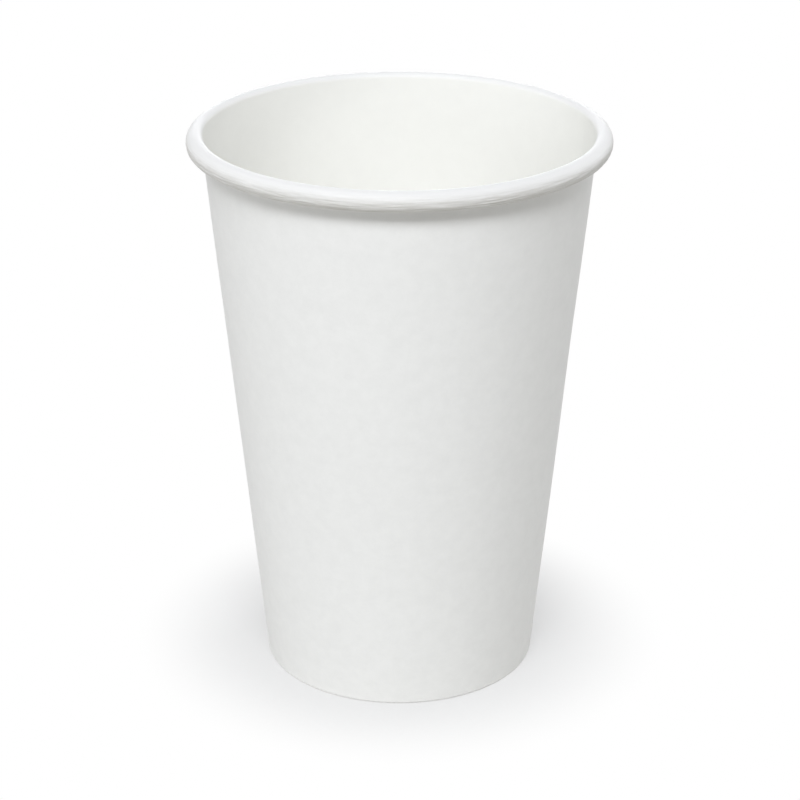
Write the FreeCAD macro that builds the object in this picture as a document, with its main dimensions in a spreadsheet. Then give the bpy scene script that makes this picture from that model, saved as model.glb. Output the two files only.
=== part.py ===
"""Paper coffee cup: one blank of coated board wrapped into a cone, and a pressed-in bottom disc.

The blank has a rolled rim at the top, a glued lap seam down the side and a hem folded inward and up at the foot.
The bottom disc has a skirt turned down round its edge, which the wall and the hem hold between them.
The origin is the centre of the foot on the table, with +Z up. Lengths are in millimetres and angles in degrees.
"""

import FreeCAD
import Part
import Sketcher

import math
import os

Vector = FreeCAD.Vector
UP = Vector(0, 0, 1)

# Which point of a sketch curve a constraint holds: its start, its end or its centre
START, END, CENTRE = 1, 2, 3
# The sketch's own origin point, its axis across and its axis upward
ORIGIN, ACROSS, UPWARD = -1, -1, -2

document = FreeCAD.newDocument("paper_coffee_cup")

# Driving dimensions

SIZES = {
    "rim_diameter": 90.0,      # across the outside of the rolled rim
    "base_diameter": 60.0,     # across the outside of the foot's fold
    "cup_height": 122.0,       # table to the top of the rim
    "wall_board": 0.4,         # thickness of the wall's board
    "bottom_board": 0.4,       # thickness of the bottom's board
    "crest_bend": 1.2,         # radius of the rolled rim where it leaves the wall
    "shoulder_bend": 2.4,      # radius from the rim's top to its outermost line
    "curl_bend": 1.75,         # radius from there to the roll's lowest point
    "tuck_turn": 150.0,        # how far the rim's edge curls on from the roll's lowest point
    "tuck_gap": 0.15,          # between the tucked edge and the wall
    "fold_bend": 0.08,         # inside radius of the two bends at the foot
    "bottom_height": 8.0,      # table to the drink side of the bottom
    "bottom_bend": 1.2,        # outside radius where the disc turns down into its skirt
    "skirt_gap": 0.3,          # between the skirt's lower edge and the fold
    "hem_gap": 0.8,            # between the hem's upper edge and the disc's bend
    "seal_gap": 0.02,          # glue line on each side of the skirt
    "lap_angle": 12.0,         # how far the two ends of the blank overlap
    "lap_foot_gap": 0.6,       # table to the lower end of the outer ply
    "lap_rim_gap": 0.25,       # upper end of the outer ply to the underside of the rim
    "lap_fade": 1.2,           # how far below the outer ply's end the step inside begins to die out
    "seam_azimuth": 15.0,      # where the inner ply's edge stands, from +X towards +Y
}

sheet = document.addObject("Spreadsheet::Sheet", "Sizes")
for row, (alias, size) in enumerate(SIZES.items(), start=1):
    sheet.set(f"A{row}", alias)
    sheet.set(f"B{row}", str(size))
    sheet.setAlias(f"B{row}", alias)
document.recompute()


def add(kind, name):
    """A new object of the document, named and labelled alike."""
    item = document.addObject(kind, name)
    item.Label = name
    return item


def size_of(expression):
    """What an expression in the sheet's sizes comes to, as a plain number."""
    value = sheet.evalExpression(expression)
    return float(getattr(value, "Value", value))


def hold(sketch, expression, kind, *elements):
    """Hold a length, angle or radius of a sketch at what an expression in the sheet's sizes gives."""
    value = size_of(expression)
    angular = kind == "Angle"
    number = sketch.addConstraint(Sketcher.Constraint(kind, *elements, math.radians(value) if angular else value))
    sketch.setExpression(f"Constraints[{number}]", f"({expression}) * 1 deg" if angular else expression)


def read_out(sketch, name, kind, *elements):
    """Add a measure that holds nothing, for other sketches to refer to by name."""
    number = sketch.addConstraint(Sketcher.Constraint(kind, *elements, 0.0))
    sketch.setDriving(number, False)
    sketch.renameConstraint(number, name)


def around(centre, radius, angle):
    """The point at an angle, in radians, on a circle."""
    return centre + Vector(math.cos(angle), math.sin(angle), 0) * radius


def draw_line(sketch, start, end):
    return sketch.addGeometry(Part.LineSegment(start, end), False)


def draw_arc(sketch, centre, radius, first, last):
    """An arc that runs counterclockwise from the first angle to the last, in radians."""
    return sketch.addGeometry(Part.ArcOfCircle(Part.Circle(centre, UP, radius), first, last), False)


def join_smoothly(sketch, joints):
    """Make each pair of curve ends meet and run on in one direction."""
    for one, one_end, other, other_end in joints:
        sketch.addConstraint(Sketcher.Constraint("Tangent", one, one_end, other, other_end))


def half_section():
    """The placement of a sketch of radius and height: its x runs outward and its y runs up."""
    return FreeCAD.Placement(Vector(), FreeCAD.Rotation(Vector(1, 0, 0), 90))


# The blank's path: the drink side of the board, from the hem's edge round the foot, up the wall and into the rim

CREST_ACROSS = "Sizes.rim_diameter / 2 - Sizes.shoulder_bend"
CREST_UP = "Sizes.cup_height - Sizes.crest_bend"
SHOULDER_UP = "Sizes.cup_height - Sizes.shoulder_bend"
ROLL_LOW = "Sizes.cup_height - Sizes.shoulder_bend - Sizes.curl_bend"
FOLD_ACROSS = "Sizes.base_diameter / 2 - Sizes.fold_bend - Sizes.wall_board"
POCKET = "Sizes.bottom_board + 2 * Sizes.seal_gap"
HEM_HEIGHT = "Sizes.bottom_height - Sizes.bottom_bend - Sizes.hem_gap"
TUCK_LIMIT = "Sizes.wall_board + Sizes.tuck_gap"


def draw_blank_path():
    """The hem, the foot's two bends, the wall, the rolled rim and its tucked edge, in one smooth path."""
    path = add("Sketcher::SketchObject", "blank_path")
    path.Placement = half_section()
    bend = size_of("Sizes.fold_bend")
    crest_radius = size_of("Sizes.crest_bend")
    shoulder_radius = size_of("Sizes.shoulder_bend")
    curl_radius = size_of("Sizes.curl_bend")
    crest_centre = Vector(size_of(CREST_ACROSS), size_of(CREST_UP), 0)
    shoulder_centre = Vector(crest_centre.x, size_of(SHOULDER_UP), 0)
    curl_centre = shoulder_centre + Vector(shoulder_radius - curl_radius, 0, 0)
    outer_bend_centre = Vector(size_of(FOLD_ACROSS), bend + size_of("Sizes.wall_board"), 0)
    # The wall's line touches the foot's bend on one side and the crest on the other, which sets how far it leans
    reach = crest_centre - outer_bend_centre
    lean = math.atan2(reach.x, reach.y) - math.asin((crest_radius + bend) / reach.Length)
    up_wall = Vector(math.sin(lean), math.cos(lean), 0)
    left = math.pi - lean
    top = math.pi / 2
    bottom = 1.5 * math.pi
    inner_bend_centre = outer_bend_centre - Vector((size_of(POCKET) - 2 * bend) / math.cos(lean), 0, 0)
    hem_foot = around(inner_bend_centre, bend, left)
    hem_rise = (size_of(HEM_HEIGHT) - hem_foot.y) / math.cos(lean)
    # From the roll's lowest point the edge curls on at the radius that touches the limit beside the wall
    limit_high = crest_centre - Vector((crest_radius - size_of(TUCK_LIMIT)) / math.cos(lean), 0, 0)
    limit_low = limit_high - Vector(math.tan(lean), 1, 0) * limit_high.y
    roll_low = around(curl_centre, curl_radius, bottom)
    beside = roll_low.x - limit_high.x + (limit_high.y - roll_low.y) * math.tan(lean)
    tuck_radius = beside * math.cos(lean) / (1 + math.sin(lean))
    tuck_centre = roll_low + Vector(0, tuck_radius, 0)
    tuck_end = bottom - math.radians(size_of("Sizes.tuck_turn"))

    hem = draw_line(path, hem_foot + up_wall * hem_rise, hem_foot)
    inner_bend = draw_arc(path, inner_bend_centre, bend, left, bottom)
    land = draw_line(path, around(inner_bend_centre, bend, bottom), around(outer_bend_centre, bend, bottom))
    outer_bend = draw_arc(path, outer_bend_centre, bend, bottom, 2 * math.pi - lean)
    wall = draw_line(path, around(outer_bend_centre, bend, -lean), around(crest_centre, crest_radius, left))
    crest = draw_arc(path, crest_centre, crest_radius, top, left)
    shoulder = draw_arc(path, shoulder_centre, shoulder_radius, 0, top)
    curl = draw_arc(path, curl_centre, curl_radius, bottom, 2 * math.pi)
    tuck = draw_arc(path, tuck_centre, tuck_radius, tuck_end, bottom)
    tuck_limit = path.addGeometry(Part.LineSegment(limit_low, limit_high), True)
    join_smoothly(path, [
        (hem, END, inner_bend, START),
        (inner_bend, END, land, START),
        (land, END, outer_bend, START),
        (outer_bend, END, wall, START),
        (wall, END, crest, END),
        (crest, START, shoulder, END),
        (shoulder, START, curl, END),
        (curl, START, tuck, END),
    ])
    path.addConstraint(Sketcher.Constraint("Horizontal", land))
    path.addConstraint(Sketcher.Constraint("Parallel", hem, wall))
    path.addConstraint(Sketcher.Constraint("Equal", inner_bend, outer_bend))
    hold(path, "Sizes.fold_bend", "Radius", outer_bend)
    hold(path, "Sizes.wall_board", "DistanceY", ORIGIN, START, land, START)
    hold(path, FOLD_ACROSS, "DistanceX", ORIGIN, START, outer_bend, CENTRE)
    hold(path, POCKET, "Distance", hem, END, wall)
    hold(path, HEM_HEIGHT, "DistanceY", ORIGIN, START, hem, START)
    hold(path, "Sizes.crest_bend", "Radius", crest)
    hold(path, "Sizes.shoulder_bend", "Radius", shoulder)
    hold(path, "Sizes.curl_bend", "Radius", curl)
    hold(path, CREST_ACROSS, "DistanceX", ORIGIN, START, shoulder, CENTRE)
    hold(path, SHOULDER_UP, "DistanceY", ORIGIN, START, shoulder, CENTRE)
    path.addConstraint(Sketcher.Constraint("Vertical", shoulder, END, shoulder, CENTRE))
    path.addConstraint(Sketcher.Constraint("Horizontal", shoulder, START, shoulder, CENTRE))
    path.addConstraint(Sketcher.Constraint("Vertical", curl, START, curl, CENTRE))
    path.addConstraint(Sketcher.Constraint("Parallel", tuck_limit, wall))
    path.addConstraint(Sketcher.Constraint("PointOnObject", tuck_limit, START, ACROSS))
    path.addConstraint(Sketcher.Constraint("Horizontal", tuck_limit, END, crest, CENTRE))
    hold(path, TUCK_LIMIT, "Distance", tuck_limit, END, wall)
    path.addConstraint(Sketcher.Constraint("Tangent", tuck, tuck_limit))
    hold(path, "Sizes.tuck_turn", "Angle", tuck)

    # Where the wall's drink side would meet the table, and its slope, for what is fitted to the wall
    at_table = path.addGeometry(Part.Point(Vector(outer_bend_centre.x + bend, 0, 0)), True)
    path.addConstraint(Sketcher.Constraint("PointOnObject", at_table, START, ACROSS))
    path.addConstraint(Sketcher.Constraint("PointOnObject", at_table, START, wall))
    read_out(path, "face_at_table", "DistanceX", ORIGIN, START, at_table, START)
    read_out(path, "wall_slope", "Angle", wall)
    return path


blank_path = draw_blank_path()
document.recompute()

FACE_AT_TABLE = "blank_path.Constraints.face_at_table / 1 mm"
WALL_LEAN = "(90 deg - blank_path.Constraints.wall_slope)"


def wall_across(up, depth):
    """How far from the axis the wall lies at a height, at a depth into the board from its drink side."""
    return f"{FACE_AT_TABLE} + ({up}) * tan({WALL_LEAN}) + ({depth}) / cos({WALL_LEAN})"


def thicken(path, name, board):
    """The board's section: the path, and the same path one board away on its outer side."""
    section = add("Part::Offset2D", name)
    section.Source = path
    section.Mode = "Skin"
    section.Join = "Arc"
    section.Fill = True
    section.setExpression("Value", f"-{board}")
    return section


def revolve(section, name, angle="360", clockwise=False):
    """A section turned about the cup's axis, from +X."""
    solid = add("Part::Revolution", name)
    solid.Source = section
    solid.Axis = -UP if clockwise else UP
    solid.Solid = True
    solid.setExpression("Angle", angle)
    return solid


def draw_outline(name, placement, corners):
    """A closed outline of straight sides, each corner held by how far across and how far up it lies."""
    outline = add("Sketcher::SketchObject", name)
    outline.Placement = placement
    points = [Vector(size_of(across), size_of(up), 0) for across, up in corners]
    count = len(points)
    sides = [draw_line(outline, points[side], points[(side + 1) % count]) for side in range(count)]
    for side in sides:
        outline.addConstraint(Sketcher.Constraint("Coincident", side, END, (side + 1) % count, START))
    for side, (across, up) in zip(sides, corners):
        hold(outline, across, "DistanceX", ORIGIN, START, side, START)
        if up == "0":
            outline.addConstraint(Sketcher.Constraint("PointOnObject", side, START, ACROSS))
        else:
            hold(outline, up, "DistanceY", ORIGIN, START, side, START)
    return outline


# The sidewall: the blank turned once about the axis, before its lap is added

wall = revolve(thicken(blank_path, "blank_section", "Sizes.wall_board"), "wrapped_blank")

# The lap: an outer ply over the wall, which climbs over the inner ply's edge at +X and ends the lap angle before it

HALF_BOARD = "Sizes.wall_board / 2"
QUARTER_BOARD = "Sizes.wall_board / 4"
TWO_BOARDS = "2 * Sizes.wall_board"
LAP_LOW = "Sizes.lap_foot_gap"
LAP_HIGH = f"{ROLL_LOW} - Sizes.lap_rim_gap"

lap_section = draw_outline("lap_section", half_section(), [
    (wall_across(LAP_LOW, HALF_BOARD), LAP_LOW),
    (wall_across(LAP_LOW, TWO_BOARDS), LAP_LOW),
    (wall_across(LAP_HIGH, TWO_BOARDS), LAP_HIGH),
    (wall_across(LAP_HIGH, HALF_BOARD), LAP_HIGH),
])
outer_ply = revolve(lap_section, "outer_ply", angle="Sizes.lap_angle", clockwise=True)


def draw_ramp(name, up, face, step):
    """A level triangle at a height: a step that stands off a face of the wall at +X and runs straight back into it.

    The ply runs straight over the step, so its line touches the circle a quarter of a board below that face.
    """
    touch = wall_across(up, f"{face} - {QUARTER_BOARD}")
    spread = f"acos(({touch}) / ({wall_across(up, f'{face} + Sizes.wall_board')}))"
    ramp = draw_outline(name, FreeCAD.Placement(), [
        (wall_across(up, f"{face} - {HALF_BOARD}"), "0"),
        (wall_across(up, f"{face} + {step}"), "0"),
        (f"({touch}) * cos({spread})", f"({touch}) * sin({spread})"),
    ])
    ramp.setExpression(".Placement.Base.z", up)
    return ramp


def loft(name, sections):
    """A solid with straight sides from one section to the next."""
    solid = add("Part::Loft", name)
    solid.Sections = sections
    solid.Solid = True
    solid.Ruled = True
    return solid


FULL_STEP = "Sizes.wall_board"
NO_STEP = f"-{QUARTER_BOARD}"
DRINK_SIDE = "0"
OUTSIDE = "Sizes.wall_board"
STEP_LOW = "Sizes.bottom_height - Sizes.bottom_bend"
STEP_HIGH = f"{LAP_HIGH} - Sizes.lap_fade"

climb = loft("outer_climb", [
    draw_ramp("outer_climb_low", LAP_LOW, OUTSIDE, FULL_STEP),
    draw_ramp("outer_climb_high", LAP_HIGH, OUTSIDE, FULL_STEP),
])
hollow = loft("inner_step", [
    draw_ramp("inner_step_low", STEP_LOW, DRINK_SIDE, FULL_STEP),
    draw_ramp("inner_step_high", STEP_HIGH, DRINK_SIDE, FULL_STEP),
    draw_ramp("inner_step_faded", CREST_UP, DRINK_SIDE, NO_STEP),
])

lapped_wall = add("Part::MultiFuse", "lapped_wall")
lapped_wall.Shapes = [wall, outer_ply, climb]
sidewall = add("Part::Cut", "sidewall")
sidewall.Base = lapped_wall
sidewall.Tool = hollow
sidewall.setExpression(".Placement.Rotation.Angle", "Sizes.seam_azimuth * 1 deg")

# The bottom: a flat disc, a bend and a skirt that follows the wall at the width of the glue line

SKIRT_LOW = "Sizes.wall_board + Sizes.skirt_gap"


def draw_bottom_path():
    """The disc's drink side from the axis outward, and the outside of its skirt."""
    path = add("Sketcher::SketchObject", "bottom_path")
    path.Placement = half_section()
    lean = math.radians(size_of(WALL_LEAN))
    bend = size_of("Sizes.bottom_bend")
    top = size_of("Sizes.bottom_height")
    low = size_of(SKIRT_LOW)
    skirt_foot = Vector(size_of(wall_across(SKIRT_LOW, "-Sizes.seal_gap")), low, 0)
    # The skirt's line rises from its foot until it touches the bend
    rise = top - bend - bend * math.sin(lean) - low
    skirt_top = skirt_foot + Vector(rise * math.tan(lean), rise, 0)
    bend_centre = skirt_top - Vector(math.cos(lean), -math.sin(lean), 0) * bend
    disc = draw_line(path, Vector(0, top, 0), around(bend_centre, bend, math.pi / 2))
    turn_down = draw_arc(path, bend_centre, bend, -lean, math.pi / 2)
    skirt = draw_line(path, skirt_foot, skirt_top)
    join_smoothly(path, [(disc, END, turn_down, END), (turn_down, START, skirt, END)])
    path.addConstraint(Sketcher.Constraint("Horizontal", disc))
    path.addConstraint(Sketcher.Constraint("PointOnObject", disc, START, UPWARD))
    hold(path, "Sizes.bottom_height", "DistanceY", ORIGIN, START, disc, START)
    hold(path, "Sizes.bottom_bend", "Radius", turn_down)
    hold(path, SKIRT_LOW, "DistanceY", ORIGIN, START, skirt, START)
    hold(path, wall_across(SKIRT_LOW, "-Sizes.seal_gap"), "DistanceX", ORIGIN, START, skirt, START)
    hold(path, "blank_path.Constraints.wall_slope / 1 deg", "Angle", skirt)
    return path


bottom_disc = revolve(thicken(draw_bottom_path(), "bottom_section", "Sizes.bottom_board"), "bottom_disc")

document.recompute()

# Every object has to have come out whole before anything is written

for item in document.Objects:
    if {"Invalid", "Error"} & set(item.State):
        raise RuntimeError(f"{item.Label} failed: {item.State}")

os.makedirs("parts", exist_ok=True)
for piece in (sidewall, bottom_disc):
    if piece.Shape.isNull() or not piece.Shape.isValid() or len(piece.Shape.Solids) != 1:
        raise RuntimeError(f"{piece.Label} is not one valid solid")
    box = piece.Shape.optimalBoundingBox(False, False)
    print(f"{piece.Label}: {piece.Shape.Volume:.1f} mm3, {len(piece.Shape.Faces)} faces, "
          f"x {box.XMin:.2f} to {box.XMax:.2f}, y {box.YMin:.2f} to {box.YMax:.2f}, "
          f"z {box.ZMin:.2f} to {box.ZMax:.2f}")
    piece.Shape.exportStep(f"parts/{piece.Label}.step")
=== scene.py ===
# %% [markdown]
# # A paper coffee cup, dressed around its CAD model
# The cup is two pieces of board: a blank wrapped into a cone with a rolled rim, and a round bottom pressed into
# its foot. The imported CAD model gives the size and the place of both. This lesson builds a finer mesh for each,
# gives the board its finishes and sets the light and the camera. Everything is in metres, with +Z up.

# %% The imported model
import math

import bmesh
import bpy
import numpy as np
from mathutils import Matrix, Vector


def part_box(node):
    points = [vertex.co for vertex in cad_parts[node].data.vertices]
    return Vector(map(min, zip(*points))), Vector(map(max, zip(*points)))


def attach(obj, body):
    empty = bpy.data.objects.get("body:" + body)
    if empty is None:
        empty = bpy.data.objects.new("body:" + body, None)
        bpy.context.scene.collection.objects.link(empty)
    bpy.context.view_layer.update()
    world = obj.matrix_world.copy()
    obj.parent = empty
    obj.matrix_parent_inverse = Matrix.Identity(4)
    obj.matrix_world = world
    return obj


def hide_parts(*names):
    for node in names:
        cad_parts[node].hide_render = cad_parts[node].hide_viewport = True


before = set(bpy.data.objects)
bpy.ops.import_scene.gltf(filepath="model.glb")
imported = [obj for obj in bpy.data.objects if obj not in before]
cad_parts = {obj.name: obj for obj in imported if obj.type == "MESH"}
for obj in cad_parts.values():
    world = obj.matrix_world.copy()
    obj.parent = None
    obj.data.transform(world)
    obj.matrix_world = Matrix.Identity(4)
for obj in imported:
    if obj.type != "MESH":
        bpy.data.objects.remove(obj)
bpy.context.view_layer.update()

# %% [markdown]
# ## The blank's sizes
# A cup is drawn as one section, the thickness of the board, turned about an axis. A few sizes give all of it: the
# rim and the height come from the CAD model's box, and the rest are the board's own. The wall's lean isn't a size:
# its line has to touch both the bend at the foot and the roll at the rim, so it is worked out.

# %% Sizes of the blank
MM = 0.001
WALL_LOW, WALL_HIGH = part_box("sidewall")
CUP_HEIGHT = WALL_HIGH.z
RIM_RADIUS = (WALL_HIGH.x - WALL_LOW.x) / 2
FOOT_RADIUS = 30 * MM
BOARD = 0.4 * MM
CREST_BEND = 1.2 * MM
SHOULDER_BEND = 2.4 * MM
CURL_BEND = 1.75 * MM
TUCK_GAP = 0.15 * MM
TUCK_TURN = math.radians(150)
RIM_GAP = 0.25 * MM
FOLD_BEND = 0.08 * MM
SEAL_GAP = 0.02 * MM
SKIRT_GAP = 0.3 * MM
BOTTOM_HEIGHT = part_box("bottom_disc")[1].z
BOTTOM_BEND = 1.2 * MM
HEM_HEIGHT = 6 * MM

crest_centre = np.array([RIM_RADIUS - SHOULDER_BEND, CUP_HEIGHT - CREST_BEND])
shoulder_centre = np.array([RIM_RADIUS - SHOULDER_BEND, CUP_HEIGHT - SHOULDER_BEND])
curl_centre = np.array([RIM_RADIUS - CURL_BEND, CUP_HEIGHT - SHOULDER_BEND])
fold_centre = np.array([FOOT_RADIUS - FOLD_BEND - BOARD, FOLD_BEND + BOARD])
reach = crest_centre - fold_centre
LEAN = math.atan2(*reach) - math.asin((CREST_BEND + FOLD_BEND) / np.linalg.norm(reach))
UP_WALL = np.array([math.sin(LEAN), math.cos(LEAN)])
OUTWARD = np.array([math.cos(LEAN), -math.sin(LEAN)])
print(f"the wall leans {math.degrees(LEAN):.2f} degrees")

# %% [markdown]
# ## The section as a closed loop of points
# A revolve modifier could turn a profile into a cup, but then the seam, the creases in the rim and the knurled
# hem would all have to be added afterwards. Here the section is a list of rows instead. Each row knows its place,
# the way its surface faces, how far along the blank it lies and which part of the cup it belongs to, so every
# later detail can ask for just the rows that it needs.

# %% Rows of the section
STEP = 0.01 * MM
rows = []


def add_row(part, point, facing, along):
    """A row of the same part in the same place as the last one is left out."""
    point = np.array(point)
    if rows and rows[-1]["part"] == part and np.linalg.norm(rows[-1]["point"] - point) < STEP / 2:
        return
    rows.append({"part": part, "point": point, "facing": np.array(facing), "along": along})


def add_line(part, start, end, facing, along, heights):
    """Rows along a straight stretch of board, at the given heights between its two ends."""
    for height in heights:
        share = (height - start[1]) / (end[1] - start[1])
        point = start + (end - start) * share
        add_row(part, point, facing, along[0] + (along[1] - along[0]) * share)


def add_arc(part, centre, radius, first, last, hollow, along, count):
    """Rows round an arc. A hollow one faces its own centre."""
    for step in range(count + 1):
        share = step / count
        angle = first + (last - first) * share
        ray = np.array([math.cos(angle), math.sin(angle)])
        add_row(part, centre + ray * radius, -ray if hollow else ray, along[0] + (along[1] - along[0]) * share)


# %% [markdown]
# ## Lengths along the blank
# Paper has a grain, and a crease in the rim runs along the roll. Both are easier to draw on the flat blank than
# on the finished cup, so each row also carries its distance from the hem's edge, measured along the board.

# %% Lengths along the board
POCKET = BOARD + 2 * SEAL_GAP
land = (POCKET - 2 * FOLD_BEND) / math.cos(LEAN)
inner_fold_centre = fold_centre - np.array([land, 0])
hem_foot = inner_fold_centre - OUTWARD * FOLD_BEND
hem_top = hem_foot + UP_WALL * (HEM_HEIGHT - hem_foot[1]) / math.cos(LEAN)
wall_foot = fold_centre + OUTWARD * FOLD_BEND
wall_top = crest_centre - OUTWARD * CREST_BEND
LEFT, TOP, RIGHT, BOTTOM = math.pi - LEAN, math.pi / 2, 0, -math.pi / 2
roll_low = curl_centre - np.array([0, CURL_BEND])
beside_wall = (roll_low - wall_top) @ OUTWARD - BOARD - TUCK_GAP
tuck_radius = beside_wall / (1 + math.sin(LEAN))
tuck_centre = roll_low + np.array([0, tuck_radius])
TUCK_END = BOTTOM - TUCK_TURN

hem_length = np.linalg.norm(hem_top - hem_foot)
fold_length = (FOLD_BEND + BOARD) * math.pi + land
wall_length = np.linalg.norm(wall_top - wall_foot)
crest_length = CREST_BEND * (LEFT - TOP)
shoulder_length = SHOULDER_BEND * (TOP - RIGHT)
curl_length = CURL_BEND * (RIGHT - BOTTOM)
tuck_length = tuck_radius * TUCK_TURN
marks = np.cumsum([0, hem_length, fold_length, wall_length, crest_length, shoulder_length, curl_length, tuck_length])
HEM, FOLD, WALL, CREST, SHOULDER, CURL, TUCK = zip(marks[:-1], marks[1:])
print(f"the blank is {marks[-1] * 1000:.1f} mm from hem to tucked edge")

# %% [markdown]
# ## Where rows are dense
# A straight stretch needs few rows, but a step in the board needs two rows almost on top of each other, so that
# the step is a wall and not a slope. The lap seam has such steps at both of its ends.

# %% Heights of the wall's rows
LAP_LOW = 0.6 * MM
LAP_HIGH = roll_low[1] - RIM_GAP
INNER_STEP_LOW = BOTTOM_HEIGHT - BOTTOM_BEND
LAP_FADE = 1.2 * MM
INNER_STEP_FADE = LAP_HIGH - LAP_FADE
INNER_STEP_HIGH = crest_centre[1]


def spread(low, high, count):
    return list(np.linspace(low, high, count))


outer_foot = wall_foot + OUTWARD * BOARD
outer_top = wall_top + OUTWARD * BOARD
# Between these heights the rows are evenly spaced, and beyond them they come closer together
OUTSIDE_EVEN_LOW, INSIDE_EVEN_LOW, EVEN_HIGH = 4 * MM, 12 * MM, 112 * MM
outside_heights = [outer_foot[1], LAP_LOW - STEP, LAP_LOW, 1.5 * MM]
outside_heights += spread(OUTSIDE_EVEN_LOW, EVEN_HIGH, 13)
outside_heights += [115.5 * MM, LAP_HIGH, LAP_HIGH + STEP, 118.8 * MM, outer_top[1]]
inside_heights = [wall_top[1], INNER_STEP_HIGH, 119.3 * MM, INNER_STEP_FADE]
inside_heights += spread(EVEN_HIGH, INSIDE_EVEN_LOW, 11)
inside_heights += [BOTTOM_HEIGHT, INNER_STEP_LOW, INNER_STEP_LOW - STEP, wall_foot[1]]
print(len(outside_heights), "rows outside,", len(inside_heights), "inside")

# %% [markdown]
# ## Round the loop
# The rows go once round the board's section: down the hem on the side that faces the recess, under the fold, up
# the outside of the wall, into the roll on its hollow side, round the cut edge, back over the roll on its visible
# side, down the inside of the wall and up the hem's other side to where they began.

# %% The loop of rows
hem_out = -OUTWARD
add_line("hem", hem_top + OUTWARD * -BOARD, hem_foot + OUTWARD * -BOARD, hem_out, HEM,
         spread(hem_top[1] + BOARD * math.sin(LEAN), hem_foot[1] + BOARD * math.sin(LEAN), 7))
add_arc("fold", inner_fold_centre, FOLD_BEND + BOARD, math.pi - LEAN, 1.5 * math.pi, False, FOLD, 5)
add_arc("fold", fold_centre, FOLD_BEND + BOARD, -math.pi / 2, -LEAN, False, FOLD, 5)
add_line("outside", outer_foot, outer_top, OUTWARD, WALL, outside_heights)
add_arc("roll_inside", crest_centre, CREST_BEND - BOARD, LEFT, TOP, True, CREST, 3)
add_arc("roll_inside", shoulder_centre, SHOULDER_BEND - BOARD, TOP, RIGHT, True, SHOULDER, 4)
add_arc("roll_inside", curl_centre, CURL_BEND - BOARD, RIGHT, BOTTOM, True, CURL, 4)
add_arc("roll_inside", tuck_centre, tuck_radius - BOARD, BOTTOM, TUCK_END, True, TUCK, 6)
add_arc("rim", tuck_centre, tuck_radius, TUCK_END, BOTTOM, False, TUCK[::-1], 6)
add_arc("rim", curl_centre, CURL_BEND, BOTTOM, RIGHT, False, CURL[::-1], 26)
add_arc("rim", shoulder_centre, SHOULDER_BEND, RIGHT, TOP, False, SHOULDER[::-1], 28)
add_arc("rim", crest_centre, CREST_BEND, TOP, LEFT, False, CREST[::-1], 7)
add_line("inside", wall_top, wall_foot, -OUTWARD, WALL[::-1], inside_heights)
add_arc("fold_inside", fold_centre, FOLD_BEND, -LEAN, -math.pi / 2, True, FOLD[::-1], 2)
add_arc("fold_inside", inner_fold_centre, FOLD_BEND, 1.5 * math.pi, math.pi - LEAN, True, FOLD[::-1], 2)
add_line("fold_inside", hem_foot, hem_top, OUTWARD, HEM[::-1], spread(hem_foot[1], hem_top[1], 3))
print(len(rows), "rows in the loop")

# %% [markdown]
# ## Round the axis
# Turning the loop gives columns of points. The blank's two ends meet at the seam, so the columns start just past
# the inner ply's edge and end on it. The outer ply's edge gets two columns side by side, for the same reason that
# a step has two rows.

# %% Angles of the columns
SEAM = math.radians(15)
LAP_ANGLE = math.radians(12)
KNURLS = 100
COLUMNS_A_KNURL = 6
EDGE = math.radians(0.02)
outer_edge = 2 * math.pi - LAP_ANGLE
turn = np.linspace(EDGE, 2 * math.pi, KNURLS * COLUMNS_A_KNURL)
turn = turn[np.abs(turn - outer_edge) > 2 * EDGE]
turn = np.sort(np.append(turn, [outer_edge - EDGE, outer_edge]))
print(len(turn), "columns, about", round(45 * math.radians(360 / len(turn)), 2), "mm apart at the rim")

# %% [markdown]
# ## The lap seam
# The blank's outer end lies over its inner end and is glued to it, so the wall is two boards thick there. Just
# before the seam the outer ply has to climb over the inner ply's edge. Board is stiff, so it runs there in a
# straight line that leaves the round wall and ends one board higher. The same line, seen from the drink side,
# leaves a shallow hollow beside the inner ply's edge.

# %% How far the board stands off at the seam
radius = np.array([row["point"][0] for row in rows])[None, :]
height = np.array([row["point"][1] for row in rows])[None, :]
part = np.array([row["part"] for row in rows])[None, :]
around = turn[:, None]


def climb(radius, around):
    """How far a ply that runs straight over a step one board high stands off the round wall."""
    touch = radius - BOARD / 4
    reach = np.arccos(touch / (radius + BOARD))
    line = touch / np.cos(np.clip(reach - around, 0, None)) - radius
    return np.where(around < reach, np.clip(line, 0, None), 0)


in_lap = around >= outer_edge
ply_height = (height > LAP_LOW - STEP / 2) & (height < LAP_HIGH + STEP / 2) & (part == "outside")
outer_ply = np.where(in_lap, BOARD, climb(radius, around)) * ply_height
fade = np.clip((INNER_STEP_HIGH - height) / (INNER_STEP_HIGH - INNER_STEP_FADE), 0, 1)
step_height = (height > INNER_STEP_LOW - STEP / 2) & (part == "inside")
inner_step = climb(radius, around) * fade * step_height
print(f"the outer ply stands {outer_ply.max() / MM:.2f} mm off, the hollow is {inner_step.max() / MM:.2f} mm deep")

# %% [markdown]
# ## Creases in the rolled rim
# Curling the rim squeezes the board's outer layer, and it gives in short fine creases that run along the roll,
# mostly on its lower outer half. Noise would spread them evenly. Instead each crease is placed by itself: a
# narrow, slightly oblique groove with soft ends, from a seeded random draw, so that no two are alike.

# %% Creases, one by one
rng = np.random.default_rng(11)
CREASES = 700
DEEPEST_CREASE = 0.12 * MM
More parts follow.
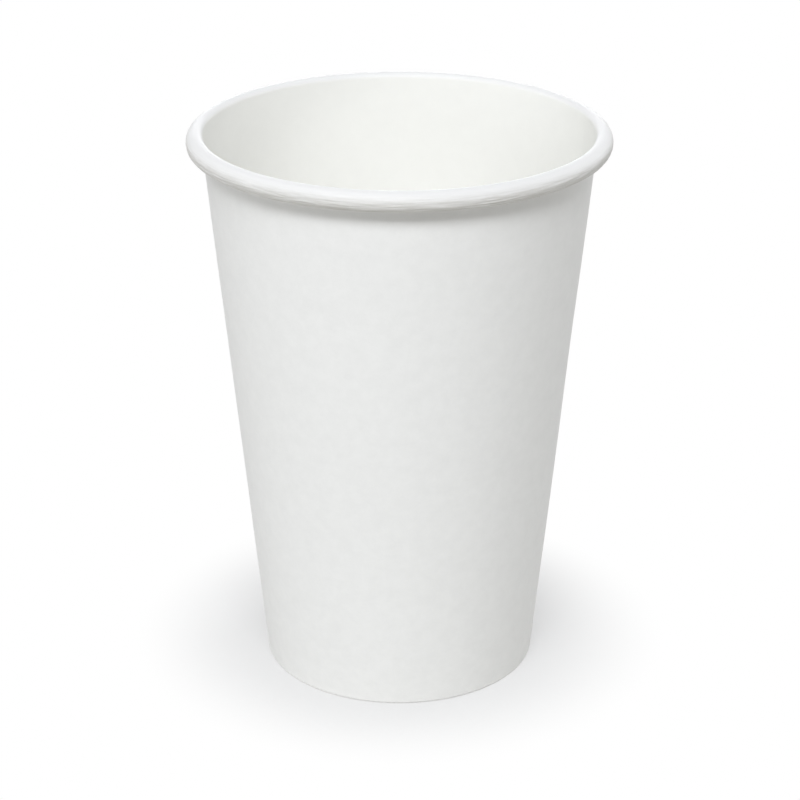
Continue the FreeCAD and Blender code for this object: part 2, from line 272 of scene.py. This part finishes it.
# How far round the roll a row lies past its outermost line, measured along the board
past_edge = np.array([row["along"] for row in rows])[None, :] - CURL[0]
on_roll = (part == "rim") & (past_edge < CURL[1] - CURL[0] + STEP)
crease_depth = np.zeros((len(turn), len(rows)))
for crease in range(CREASES):
    middle = rng.uniform(0, 2 * math.pi)
    place = rng.normal(0.5, 0.85) * MM
    half_length = rng.uniform(1.0, 5.0) * MM / RIM_RADIUS
    half_width = rng.uniform(0.1, 0.2) * MM
    slant = rng.normal(0, 0.06) * RIM_RADIUS
    deep = rng.uniform(0.015, 0.06) * MM
    off = (around - middle + math.pi) % (2 * math.pi) - math.pi
    across = (past_edge - place - slant * off) / half_width
    crease_depth += deep * np.exp(-(off / half_length) ** 2 - across ** 2)
crease_depth = np.minimum(crease_depth, DEEPEST_CREASE) * on_roll
print(f"{CREASES} creases, the deepest {crease_depth.max() / MM:.3f} mm")

# %% [markdown]
# ## The wall's own waves, and the knurled hem
# A wrapped blank is never perfectly round: it has shallow waves, a few hundredths of a millimetre, that show only
# as a soft change in the light. They move both faces alike, so the board keeps its thickness. The hem carries the
# marks of the wheel that pressed it against the skirt: upright grooves on the side that faces the recess.

# %% Waves and knurls
WAVES = (
    # waves round the cup, radians they turn by from table to rim, millimetres high, start
    (2, 9.0, 0.05, 0.3),
    (3, 5.5, 0.035, 1.9),
    (5, 14.0, 0.02, 4.0),
    (9, 20.0, 0.012, 2.4),
    (17, 31.0, 0.006, 5.1),
)
WAVES_LOW, WAVES_HIGH, WAVES_FADE = 9 * MM, 116 * MM, 20 * MM
KNURL_DEPTH = 0.07 * MM
KNURLS_LOW, KNURLS_FADE = MM, 0.8 * MM


def between(low, high, fade):
    """1 at heights between two others and 0 outside them, with a soft end of a given height at each."""
    return np.clip((height - low) / fade, 0, 1) * np.clip((high - height) / fade, 0, 1)


wave = sum(size * MM * np.sin(count * around + pitch * height / CUP_HEIGHT + start)
           for count, pitch, size, start in WAVES)
wave = wave * between(WAVES_LOW, WAVES_HIGH, WAVES_FADE)
tooth = np.clip(np.cos(KNURLS * around), 0, 1) ** 0.7
knurl = KNURL_DEPTH * tooth * (part == "hem") * between(KNURLS_LOW, HEM_HEIGHT, KNURLS_FADE)
print(f"waves of up to {np.abs(wave).max() / MM:.2f} mm and {KNURLS} knurls")

# %% [markdown]
# ## From rows and columns to a mesh
# Both pieces are grids of rows and columns, so one function makes either. It writes the points, the faces, a
# material number for each face, and the flat blank's own coordinates as a UV map that is named, not just active.

# %% A mesh from a grid


def grid_mesh(name, points, finishes, flat, finish_of_face, closed):
    """A piece from points[column, row]. The columns always join up. The rows do if the section is closed."""
    columns, count = points.shape[:2]
    across = count if closed else count - 1
    column, row = np.meshgrid(np.arange(columns), np.arange(across), indexing="ij")
    next_column, next_row = (column + 1) % columns, (row + 1) % count
    faces = np.stack([column * count + row, next_column * count + row,
                      next_column * count + next_row, column * count + next_row], axis=-1).reshape(-1, 4)
    mesh = bpy.data.meshes.new(name)
    mesh.from_pydata(points.reshape(-1, 3), [], faces)
    for finish in finishes:
        mesh.materials.append(finish)
    mesh.polygons.foreach_set("material_index", finish_of_face[:, :across].ravel().astype(np.int32))
    mesh.polygons.foreach_set("use_smooth", np.ones(len(faces), bool))
    length = flat[0] * RIM_RADIUS
    end = np.append(length, 2 * math.pi * RIM_RADIUS)[column + 1]
    along = flat[1]
    corners = np.stack([length[column], along[row], end, along[row], end, along[next_row],
                        length[column], along[next_row]], axis=-1)
    mesh.uv_layers.new(name="blank").uv.foreach_set("vector", corners.ravel().astype(np.float32))
    mesh.set_sharp_from_angle(angle=math.radians(35))
    mesh.validate()
    piece = bpy.data.objects.new(name, mesh)
    bpy.context.scene.collection.objects.link(piece)
    return piece


def add_measure(piece, name, values):
    """A number for each point of a piece, which its material can read."""
    measure = piece.data.attributes.new(name, "FLOAT", "POINT")
    measure.data.foreach_set("value", np.asarray(values, np.float32).ravel())


# %% [markdown]
# ## Board finishes
# One board, two finishes. The outside is bare bleached board: matt, with a cloudy tone and a fibre grain. The
# drink side has a thin film of plastic, so it is smoother, paler and a little creamier, though in the photo it
# hardly shines. The rim is that side rolled outward. The cut edges show the board's raw core.

# %% Nodes that board finishes share


def new_finish(name, colour, roughness, specular):
    """A material with its even values on the shader's own sockets."""
    finish = bpy.data.materials.new(name)
    finish.use_nodes = True
    shader = finish.node_tree.nodes["Principled BSDF"]
    shader.inputs["Base Color"].default_value = (*colour, 1)
    shader.inputs["Roughness"].default_value = roughness
    shader.inputs["Specular IOR Level"].default_value = specular
    return finish, shader


def add_node(finish, kind, **sockets):
    node = finish.node_tree.nodes.new(kind)
    for socket, value in sockets.items():
        node.inputs[socket.replace("_", " ")].default_value = value
    return node


def join(finish, source, target):
    finish.node_tree.links.new(source, target)


def add_noise(finish, place, features_mm, detail, roughness):
    """Noise whose main features are about so many millimetres across."""
    noise = add_node(finish, "ShaderNodeTexNoise", Scale=1 / (features_mm * MM), Detail=detail, Roughness=roughness)
    join(finish, place, noise.inputs["Vector"])
    return noise.outputs["Fac"]


def add_bump(finish, height, depth, before=None):
    """Relief of a depth in metres, on top of any bump before it."""
    bump = add_node(finish, "ShaderNodeBump", Strength=1.0, Distance=depth)
    join(finish, height, bump.inputs["Height"])
    if before:
        join(finish, before, bump.inputs["Normal"])
    return bump.outputs["Normal"]


def tint(finish, noise, dark, light, low=0.35, high=0.65):
    """A colour that noise carries from one tone to another."""
    ramp = add_node(finish, "ShaderNodeValToRGB")
    ramp.color_ramp.elements[0].position, ramp.color_ramp.elements[0].color = low, (*dark, 1)
    ramp.color_ramp.elements[1].position, ramp.color_ramp.elements[1].color = high, (*light, 1)
    join(finish, noise, ramp.inputs["Fac"])
    return ramp.outputs["Color"]


def blend_to(finish, tone, goal, share):
    """A tone that goes over to another colour by a share."""
    blend = add_node(finish, "ShaderNodeMix")
    blend.data_type = "RGBA"
    blend.inputs["B"].default_value = (*goal, 1)
    join(finish, tone, blend.inputs["A"])
    join(finish, share, blend.inputs["Factor"])
    return blend.outputs["Result"]


def read_measure(finish, name):
    """A measure that the mesh carries for each of its points."""
    measure = add_node(finish, "ShaderNodeAttribute")
    measure.attribute_name = name
    return measure.outputs["Fac"]


def multiply(finish, one, other):
    product = add_node(finish, "ShaderNodeMath")
    product.operation = "MULTIPLY"
    join(finish, one, product.inputs[0])
    join(finish, other, product.inputs[1])
    return product.outputs["Value"]


# %% [markdown]
# ## Bare board
# Seen from arm's length bare board is plain white, but its tone drifts in clouds a few millimetres across where
# the fibres lie thicker, and light along it finds a fine tooth. Both are noise in the object's own space, so that
# they have no seam.

# %% Bare bleached board


def bare_board():
    finish, shader = new_finish("bare bleached board", (0.85, 0.85, 0.845), 0.62, 0.3)
    place = add_node(finish, "ShaderNodeTexCoord").outputs["Object"]
    clouds = add_noise(finish, place, 3.0, 5.0, 0.72)
    fibres = add_noise(finish, place, 0.45, 4.0, 0.7)
    tooth = add_noise(finish, place, 0.12, 2.0, 0.5)
    tone = tint(finish, clouds, (0.835, 0.836, 0.833), (0.863, 0.864, 0.861))
    join(finish, tone, shader.inputs["Base Color"])
    relief = add_bump(finish, clouds, 0.03 * MM)
    relief = add_bump(finish, fibres, 0.014 * MM, relief)
    relief = add_bump(finish, tooth, 0.004 * MM, relief)
    join(finish, relief, shader.inputs["Normal"])
    return finish


# %% [markdown]
# ## Coated board
# The film follows the fibres but rounds them off, so its relief is softer. Round the rim the flat blank's
# coordinates come in: noise stretched along the roll makes the finest creases, the ones too small to model, and a
# measure on the mesh keeps them to the part of the roll that really creases. The same noise darkens the colour
# there as painted shade in the creases, mostly on the roll's lower outer half. A second measure takes the tone over
# to a darker one on the whole visible roll: painted shade that holds down the light on its upward-facing top.

# %% Coated drink side
# Painted shade for the whole visible roll, darker than the same coated board inside the cup, to hold down the light on
# its top
ROLL_SHADE_TONE = (0.821, 0.817, 0.815)
# Painted shade for the creases on the roll's lower outer half
CREASE_SHADE_TONE = (0.62, 0.61, 0.59)


def coated_board():
    finish, shader = new_finish("coated drink side", (0.925, 0.921, 0.889), 0.5, 0.22)
    place = add_node(finish, "ShaderNodeTexCoord").outputs["Object"]
    clouds = add_noise(finish, place, 4.0, 4.0, 0.65)
    fibres = add_noise(finish, place, 0.8, 3.0, 0.6)
    tone = tint(finish, clouds, (0.919, 0.915, 0.883), (0.931, 0.927, 0.895))
    relief = add_bump(finish, clouds, 0.02 * MM)
    relief = add_bump(finish, fibres, 0.006 * MM, relief)

    blank = add_node(finish, "ShaderNodeUVMap")
    blank.uv_map = "blank"
    stretch = add_node(finish, "ShaderNodeMapping", Scale=(0.06, 1.0, 1.0), Rotation=(0, 0, math.radians(2)))
    join(finish, blank.outputs["UV"], stretch.inputs["Vector"])
    creases = add_noise(finish, stretch.outputs["Vector"], 0.4, 4.0, 0.65)
    crease_zone = read_measure(finish, "crease_zone")
    streaks = multiply(finish, creases, crease_zone)
    # Painted shade: over the crease zone the crease noise mixes in the darker tone, from about a third of it to all of
    # it
    crease_shade_pattern = tint(finish, creases, (0.35, 0.35, 0.35), (1, 1, 1), 0.36, 0.58)
    # Painted shade: the visible roll takes the darker tone, from just past the crest's inner edge onward
    rolled = blend_to(finish, tone, ROLL_SHADE_TONE, read_measure(finish, "roll_shade_zone"))
    painted_crease_shade = blend_to(finish, rolled, CREASE_SHADE_TONE, multiply(finish, crease_shade_pattern, crease_zone))
    join(finish, painted_crease_shade, shader.inputs["Base Color"])
    relief = add_bump(finish, streaks, 0.09 * MM, relief)
    join(finish, relief, shader.inputs["Normal"])
    return finish


# %% [markdown]
# ## Cut edges
# Wherever the blank was cut, its core shows: rougher and a shade darker and warmer than either face.

# %% Cut edge


def cut_edge():
    finish, shader = new_finish("cut edge", (0.78, 0.76, 0.72), 0.9, 0.2)
    place = add_node(finish, "ShaderNodeTexCoord").outputs["Object"]
    fibres = add_noise(finish, place, 0.2, 3.0, 0.7)
    join(finish, tint(finish, fibres, (0.72, 0.70, 0.66), (0.81, 0.79, 0.75)), shader.inputs["Base Color"])
    join(finish, add_bump(finish, fibres, 0.03 * MM), shader.inputs["Normal"])
    return finish


FINISHES = [bare_board(), coated_board(), cut_edge()]
BARE, COATED, CUT = range(len(FINISHES))
print("finishes:", ", ".join(finish.name for finish in FINISHES))

# %% [markdown]
# ## The sidewall
# Each point starts on its row, turned to its column, and then moves along the way its surface faces by everything
# worked out above. The outside moves out at the lap and the drink side sinks back, a crease or a knurl sinks in,
# and a wave moves both faces together.

# %% The sidewall's points
facing = np.array([row["facing"] for row in rows])
same_way = np.where(part == "inside", -1, 1) * np.isin(part, ("outside", "inside"))
shift = outer_ply - inner_step - crease_depth - knurl + wave * same_way
flat_radius = radius + shift * facing[None, :, 0]
points = np.stack([
    flat_radius * np.cos(around + SEAM),
    flat_radius * np.sin(around + SEAM),
    height + shift * facing[None, :, 1],
], axis=-1)
print("sidewall points:", points.shape[0] * points.shape[1])

# %% [markdown]
# ## Which face gets which finish
# A face takes its finish from the part of its row. Faces between two parts with different finishes are the cut
# edges at the hem and in the roll, and so are the faces between a step's two rows or two columns.

# %% The sidewall's finishes
bare_parts = ("hem", "fold", "outside", "roll_inside")
row_finish = np.where(np.isin(part[0], bare_parts), BARE, COATED)
next_finish = np.roll(row_finish, -1)
meets_outside = (part[0] == "outside") | (np.roll(part[0], -1) == "outside")
meets_inside = (part[0] == "inside") | (np.roll(part[0], -1) == "inside")
finish_of_row = np.where((row_finish != next_finish) & ~meets_outside & ~meets_inside, CUT, row_finish)
finish_of_face = np.tile(finish_of_row, (len(turn), 1))
rise = np.roll(outer_ply, -1, axis=1) - outer_ply
finish_of_face[np.abs(rise) > BOARD / 2] = CUT
step_column = np.roll(outer_ply, -1, axis=0) - outer_ply
finish_of_face[(np.abs(step_column) > BOARD / 2) & (part == "outside")] = CUT
inner_column = np.roll(inner_step, -1, axis=0) - inner_step
finish_of_face[(np.abs(inner_column) > BOARD / 4) & (part == "inside")] = CUT

# %% The sidewall's mesh
along_blank = np.array([row["along"] for row in rows])
sidewall = grid_mesh("sidewall_board", points, FINISHES, (turn, along_blank), finish_of_face, closed=True)
CREASES_BEFORE_EDGE, CREASES_GROW, CREASES_END = 2.6 * MM, 2.2 * MM, MM
TONE_CHANGE = 0.6 * MM
zone_start = np.clip((past_edge + CREASES_BEFORE_EDGE) / CREASES_GROW, 0, 1)
zone_end = np.clip((CURL[1] - CURL[0] - past_edge) / CREASES_END, 0, 1)
# The crease zone carries both the creases' relief and their painted shade, and it grows down the roll's outer side
crease_zone = zone_start ** 1.5 * zone_end * (part == "rim")
add_measure(sidewall, "crease_zone", np.tile(crease_zone, (len(turn), 1)))
# Where the roll's painted shade lies: rising over 0.6 mm from the crest's inner edge, then over all the roll beyond
roll_shade_zone = np.clip((along_blank - CREST[0]) / TONE_CHANGE, 0, 1) * (part == "rim")
add_measure(sidewall, "roll_shade_zone", np.tile(roll_shade_zone, (len(turn), 1)))
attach(sidewall, "root")
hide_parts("sidewall")
print("sidewall triangles:", 2 * len(sidewall.data.polygons))

# %% [markdown]
# ## The bottom disc
# The bottom is a flat disc with its edge turned down into a skirt. Pressing it in leaves it very slightly dished,
# with a faint ring where the punch stood. Its loop of rows runs from the middle of its underside out, round the
# skirt and back to the middle of its drink side, and the points on the axis are merged into one at each end.

# %% Rows of the bottom
disc_rows = []
skirt_line = np.array([wall_foot[0] - wall_foot[1] * math.tan(LEAN), 0]) - OUTWARD * SEAL_GAP


def skirt_point(height, depth):
    """A point on the skirt at a height of its outer face, at a depth into the board."""
    start = skirt_line + UP_WALL * (height - skirt_line[1]) / math.cos(LEAN)
    return start - OUTWARD * depth


SKIRT_LOW = BOARD + SKIRT_GAP
bend_high = BOTTOM_HEIGHT - BOTTOM_BEND * (1 + math.sin(LEAN))
bend_centre = skirt_point(bend_high, BOTTOM_BEND)
disc_radius = bend_centre[0]
DOWN, UP = np.array([0, -1]), np.array([0, 1])
loop = rows
rows = disc_rows
for distance in spread(0, disc_radius, 26):
    add_row("underside", (distance, BOTTOM_HEIGHT - BOARD), DOWN, distance)
add_arc("skirt_inside", bend_centre, BOTTOM_BEND - BOARD, math.pi / 2, -LEAN, True, (disc_radius, disc_radius + MM), 6)
for height_up in spread(bend_high - 0.5 * MM, SKIRT_LOW, 6):
    add_row("skirt_inside", skirt_point(height_up, BOARD), -OUTWARD, disc_radius + BOTTOM_HEIGHT - height_up)
for height_up in spread(SKIRT_LOW, bend_high - 0.5 * MM, 6):
    add_row("skirt", skirt_point(height_up, 0), OUTWARD, disc_radius + BOTTOM_HEIGHT - height_up)
add_arc("skirt", bend_centre, BOTTOM_BEND, -LEAN, math.pi / 2, False, (disc_radius + MM, disc_radius), 8)
for distance in spread(disc_radius, 0, 26)[1:]:
    add_row("top", (distance, BOTTOM_HEIGHT), UP, distance)
rows = loop
print(len(disc_rows), "rows in the bottom's loop")

# %% The bottom's points
DISC_COLUMNS = 240
disc_turn = np.linspace(0, 2 * math.pi, DISC_COLUMNS, endpoint=False)
disc_part = np.array([row["part"] for row in disc_rows])
disc_point = np.array([row["point"] for row in disc_rows])
DISH, RING, RIPPLE = 0.18 * MM, 0.05 * MM, 0.025 * MM
RING_PLACE, RING_WIDTH = 0.86 * disc_radius, 0.7 * MM
share = disc_point[:, 0] / disc_radius
flat = np.isin(disc_part, ("top", "underside"))
dish = DISH * np.clip(1 - share ** 2, 0, 1)
ring = RING * np.exp(-((disc_point[:, 0] - RING_PLACE) / RING_WIDTH) ** 2)
ripple = RIPPLE * np.sin(3 * disc_turn[:, None] + 5 * share) * np.clip(share * (1 - share) * 4, 0, 1)
# Lowered by the ripple's height too, so that no part of it stands above the CAD model's disc
lower = (dish + ring + ripple + RIPPLE) * flat * np.clip((1 - share) * 12, 0, 1)
disc_points = np.stack([
    disc_point[:, 0] * np.cos(disc_turn)[:, None],
    disc_point[:, 0] * np.sin(disc_turn)[:, None],
    disc_point[:, 1] - lower,
], axis=-1)
disc_finish = np.where(np.isin(disc_part, ("top", "skirt")), COATED, BARE)
disc_finish[np.flatnonzero(disc_part == "skirt_inside")[-1]] = CUT
disc_along = np.array([row["along"] for row in disc_rows])
bottom = grid_mesh("bottom_board", disc_points, FINISHES, (disc_turn, disc_along),
                   np.tile(disc_finish, (DISC_COLUMNS, 1)), closed=False)
merge = bmesh.new()
merge.from_mesh(bottom.data)
bmesh.ops.remove_doubles(merge, verts=[v for v in merge.verts if v.co.xy.length < STEP], dist=STEP)
merge.to_mesh(bottom.data)
merge.free()
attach(bottom, "root")
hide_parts("bottom_disc")
print("bottom polygons:", len(bottom.data.polygons))

# %% [markdown]
# ## Floor and backdrop
# The cup stands on plain white, with a soft shadow round its foot that is gone a few centimetres away. A
# lamp bright enough to burn the floor out would burn the cup out too. So rays that come straight from the camera
# or off a shiny surface see a floor that is white by itself. Near the cup that white is turned down, a painted
# shadow round the foot, and a share of it depends on the light, which keeps the cast shadow. The fade's middle lies
# a few millimetres behind the cup's, because the cup is lit from the front. All other rays see a plain pale floor,
# which sends soft light up under the rim.

# %% Floor
FLOOR_SIZE = 3.0
FLOOR_PALE = (0.634, 0.62, 0.58)
SHADOW_SHARE = 0.29
PAINTED_SHADOW_WHITE = 0.47
SHADOW_NEAR, SHADOW_FAR = 0.026, 0.062
SHADOW_BACK = 0.005
floor_mesh = bpy.data.meshes.new("floor")
half = FLOOR_SIZE / 2
floor_mesh.from_pydata([(-half, -half, 0), (half, -half, 0), (half, half, 0), (-half, half, 0)], [], [(0, 1, 2, 3)])
floor = bpy.data.objects.new("floor", floor_mesh)
floor.location = (0, SHADOW_BACK, -STEP)
bpy.context.scene.collection.objects.link(floor)
print("floor:", FLOOR_SIZE, "m across")

# %% What a ray sees, and how far from the cup


def seen_directly(tree):
    """1 for rays from the camera or off something shiny, 0 for the rest."""
    path = tree.nodes.new("ShaderNodeLightPath")
    shiny = tree.nodes.new("ShaderNodeMath")
    shiny.operation = "MAXIMUM"
    tree.links.new(path.outputs["Is Glossy Ray"], shiny.inputs[0])
    tree.links.new(path.outputs["Is Transmission Ray"], shiny.inputs[1])
    seen = tree.nodes.new("ShaderNodeMath")
    seen.operation = "MAXIMUM"
    tree.links.new(path.outputs["Is Camera Ray"], seen.inputs[0])
    tree.links.new(shiny.outputs["Value"], seen.inputs[1])
    return seen.outputs["Value"]


def fade_out(tree, distance, at_cup, far_off):
    """A value that changes smoothly with the distance from the cup, where the shadow ends."""
    fade = tree.nodes.new("ShaderNodeMapRange")
    fade.interpolation_type = "SMOOTHSTEP"
    fade.inputs["From Min"].default_value = SHADOW_NEAR
    fade.inputs["From Max"].default_value = SHADOW_FAR
    fade.inputs["To Min"].default_value = at_cup
    fade.inputs["To Max"].default_value = far_off
    tree.links.new(distance, fade.inputs["Value"])
    return fade.outputs["Result"]


# %% The floor's finish
floor_finish = bpy.data.materials.new("floor")
floor_finish.use_nodes = True
floor_tree = floor_finish.node_tree
floor_tree.nodes.clear()
ground = floor_tree.nodes.new("ShaderNodeTexCoord")
distance = floor_tree.nodes.new("ShaderNodeVectorMath")
distance.operation = "LENGTH"
floor_tree.links.new(ground.outputs["Object"], distance.inputs[0])
pale = floor_tree.nodes.new("ShaderNodeBsdfDiffuse")
pale.inputs["Color"].default_value = (*FLOOR_PALE, 1)
shadow = floor_tree.nodes.new("ShaderNodeBsdfDiffuse")
floor_tree.links.new(fade_out(floor_tree, distance.outputs["Value"], SHADOW_SHARE, 0), shadow.inputs["Color"])
white = floor_tree.nodes.new("ShaderNodeEmission")
# Painted shadow: near the cup the floor's own white is turned down to this level, whatever the light
floor_tree.links.new(fade_out(floor_tree, distance.outputs["Value"], PAINTED_SHADOW_WHITE, 1), white.inputs["Strength"])
shaded = floor_tree.nodes.new("ShaderNodeAddShader")
floor_tree.links.new(shadow.outputs["BSDF"], shaded.inputs[0])
floor_tree.links.new(white.outputs["Emission"], shaded.inputs[1])
either = floor_tree.nodes.new("ShaderNodeMixShader")
floor_tree.links.new(seen_directly(floor_tree), either.inputs["Fac"])
floor_tree.links.new(pale.outputs["BSDF"], either.inputs[1])
floor_tree.links.new(shaded.outputs["Shader"], either.inputs[2])
floor_out = floor_tree.nodes.new("ShaderNodeOutputMaterial")
floor_tree.links.new(either.outputs["Shader"], floor_out.inputs["Surface"])
floor_mesh.materials.append(floor_finish)
print("the floor's shadow ends about", round(SHADOW_FAR * 1000), "mm from the cup's axis")

# %% [markdown]
# ## World
# The world follows the floor: it is white for the rays that see it directly, and for all others it is a faint even
# light. A brighter one would light the cup alike from all sides and take away the shading of its round wall.

# %% World
AMBIENT = 0.1
print("even light of the world:", AMBIENT)
world = bpy.data.worlds.new("studio")
bpy.context.scene.world = world
world.use_nodes = True
world_tree = world.node_tree
background = world_tree.nodes["Background"]
background.inputs["Color"].default_value = (1, 1, 1, 1)
strength = world_tree.nodes.new("ShaderNodeMix")
strength.inputs["A"].default_value = AMBIENT
strength.inputs["B"].default_value = 1.0
world_tree.links.new(seen_directly(world_tree), strength.inputs["Factor"])
world_tree.links.new(strength.outputs["Result"], background.inputs["Strength"])

# %% [markdown]
# ## Light
# The shadow under the rim is short and soft-edged, so the main light stands in front of the cup and high up, at
# 50 degrees. The wall is brightest left of its middle, so a second lamp about as high stands further left. Lower
# lamps at both sides and behind them keep the wall's edges and the cup's inside pale, and one more lights the back.
# The lamps stand far off, which lights rim and foot alike. All are a touch cooler than the light that comes back
# from the floor, as the warm tone of the shadows shows.

# %% Lamps
LAMP_DISTANCE = 3.0
LAMP_COLOUR = (0.965, 0.982, 1.0)
LAMPS = {
    # name: degrees to the right of the camera, degrees up, width and depth, watts
    "front": (0, 50, (1.6, 0.8), 51.5),
    "front left": (-22, 47, (1.6, 0.8), 34.0),
    "left": (-75, 10, (1.4, 1.0), 12.0),
    "left back": (-118, 18, (1.4, 1.2), 12.0),
    "right": (75, 25, (1.4, 1.2), 7.5),
    "right back": (130, 20, (1.4, 1.2), 24.0),
    "back": (180, 10, (1.6, 1.0), 20.0),
}
LIT_POINT = Vector((0, 0, CUP_HEIGHT / 2))


def add_lamp(name, aside, above, size, watts):
    lamp = bpy.data.lights.new(name, "AREA")
    lamp.shape = "RECTANGLE"
    lamp.size, lamp.size_y = size
    lamp.energy = watts
    lamp.color = LAMP_COLOUR
    aside, above = math.radians(aside), math.radians(above)
    ray = Vector((math.cos(above) * math.sin(aside), -math.cos(above) * math.cos(aside), math.sin(above)))
    holder = bpy.data.objects.new(name, lamp)
    holder.location = LIT_POINT + ray * LAMP_DISTANCE
    holder.rotation_euler = (-ray).to_track_quat("-Z", "Y").to_euler()
    bpy.context.scene.collection.objects.link(holder)


for name, lamp in LAMPS.items():
    add_lamp(name, *lamp)
print("lamps:", ", ".join(LAMPS))

# %% [markdown]
# ## Camera
# The curve of the rim and of the foot, and how much they differ, give the camera's height and distance: a long
# lens about half a metre away, looking down at the cup by 23 degrees.

# %% Camera
PITCH = math.radians(23.2)
DISTANCE = 0.540
AXIS_POINT = Vector((0, 0, 0.060))
AIM = Vector((0.0001, 0, 0.05945))
SENSOR = 36.0
FOCAL_IN_FRAMES = 2450 / 800
camera_data = bpy.data.cameras.new("camera")
camera_data.sensor_width = SENSOR
camera_data.lens = SENSOR * FOCAL_IN_FRAMES
camera = bpy.data.objects.new("camera", camera_data)
camera.location = AXIS_POINT + Vector((0, -math.cos(PITCH), math.sin(PITCH))) * DISTANCE
camera.rotation_euler = (AIM - camera.location).to_track_quat("-Z", "Y").to_euler()
bpy.context.scene.collection.objects.link(camera)
bpy.context.scene.camera = camera
print(f"lens {camera_data.lens:.1f} mm")

bpy.context.scene.view_settings.view_transform = "Standard"
